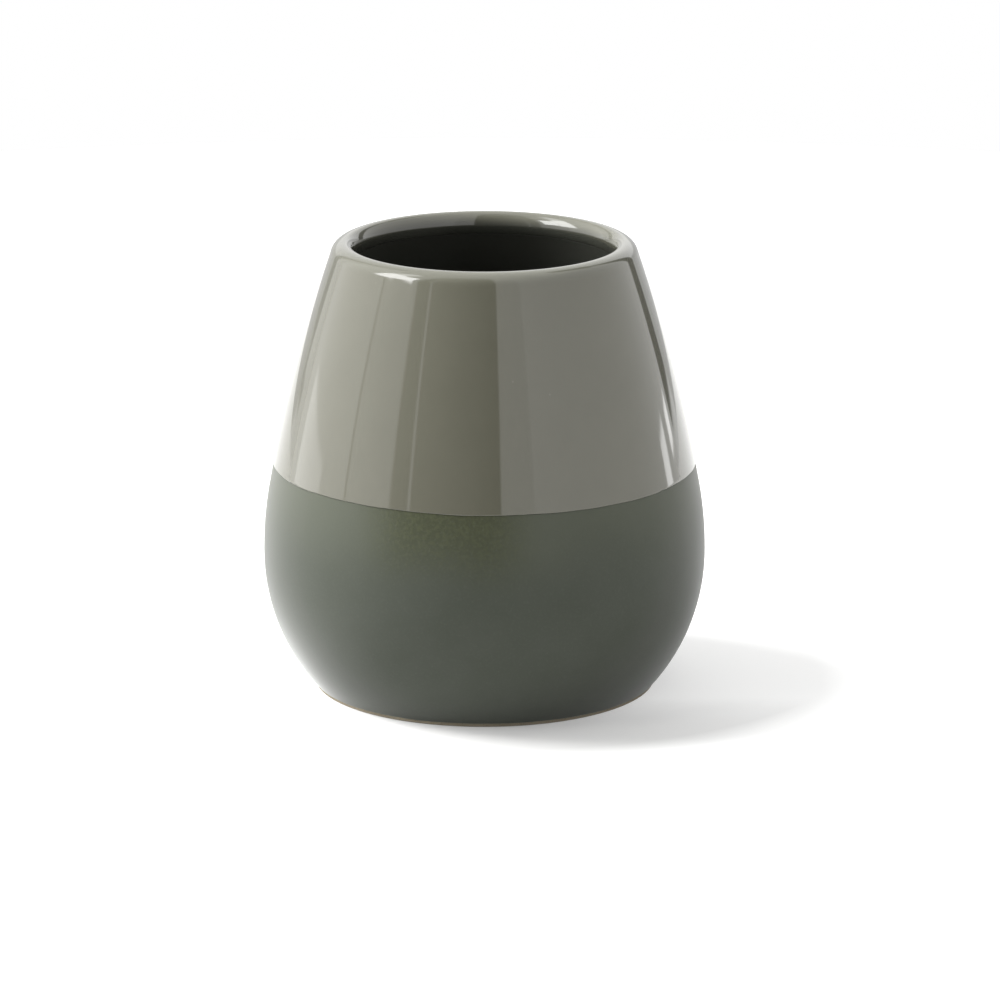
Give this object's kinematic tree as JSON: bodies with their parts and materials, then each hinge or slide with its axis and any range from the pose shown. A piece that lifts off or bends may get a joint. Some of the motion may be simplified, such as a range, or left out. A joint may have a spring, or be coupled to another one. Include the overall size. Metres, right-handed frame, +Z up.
{
  "type": "toothbrush holder",
  "caption": "Round-bellied stoneware tumbler that narrows to a rounded lip, matt glaze below and gloss glaze above a level line, for standing toothbrushes in.",
  "frame": {"origin": "centre of the foot ring, on the surface that the tumbler stands on", "axes": "+Z up along the axis of the pot; +X to the right and +Y away as seen in the picture"},
  "size_m": [0.098, 0.098, 0.1],
  "materials": {
    "bare_stoneware": "fired bare stoneware, buff, fine grit",
    "matt_glaze": "dark grey-green matt glaze",
    "gloss_glaze": "warm grey-green gloss glaze",
    "liner_glaze": "dark grey-green satin liner glaze",
    "underside_glaze": "dark grey-green matt glaze"
  },
  "bodies": {
    "root": {"clay_body": "bare_stoneware", "matt_glaze": "matt_glaze", "gloss_glaze": "gloss_glaze", "liner_glaze": "liner_glaze", "underside_glaze": "underside_glaze"}
  },
  "joints": []
}
